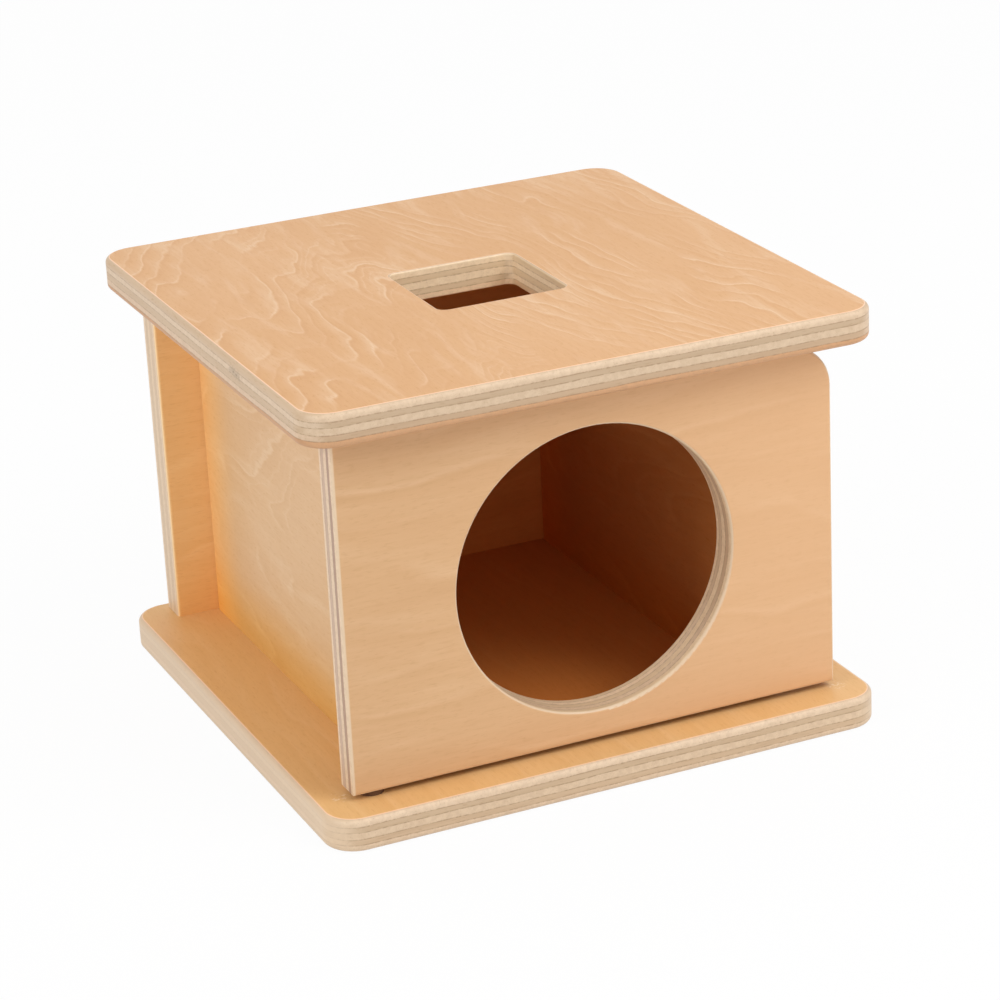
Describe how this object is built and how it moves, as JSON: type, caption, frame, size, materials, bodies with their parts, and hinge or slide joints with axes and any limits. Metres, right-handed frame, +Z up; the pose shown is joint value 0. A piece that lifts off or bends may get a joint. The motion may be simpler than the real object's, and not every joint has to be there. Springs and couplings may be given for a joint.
{
  "type": "object permanence box",
  "caption": "Plywood object permanence box: square hole in the overhanging lid, and a pivoting front door with a large round opening.",
  "frame": {"origin": "on the table, under the middle of the base board", "axes": "+X to the right as seen from the door, +Y from the door to the back panel, +Z up"},
  "size_m": [0.15, 0.15, 0.1114],
  "materials": {
    "base_ply": "satin clear lacquer on birch plywood, plies open at the edges",
    "lid_ply": "satin clear lacquer on figured birch plywood, plies open at the edges",
    "wall_ply": "satin clear lacquer on birch plywood",
    "door_ply": "satin clear lacquer on birch plywood, grain level",
    "dowel_beech": "plain beech",
    "pin_steel": "ground steel",
    "washer_nylon": "dark brown nylon"
  },
  "bodies": {
    "box": {"base_board": "base_ply", "lid_board": "lid_ply", "back_panel": "wall_ply", "side_wall_left": "wall_ply", "side_wall_right": "wall_ply", "pivot_pin_lower": "pin_steel", "pivot_pin_upper": "pin_steel", "pivot_washer": "washer_nylon", "base_dowels": "dowel_beech", "lid_dowels": "dowel_beech", "back_dowels": "dowel_beech"},
    "door": {"door_panel": "door_ply"}
  },
  "joints": [
    {"name": "door_hinge", "type": "hinge", "parent": "box", "child": "door", "pos_m": [-0.06, -0.06125, 0.0557], "axis": [0, 0, -1], "range_deg": [0, 105]}
  ]
}
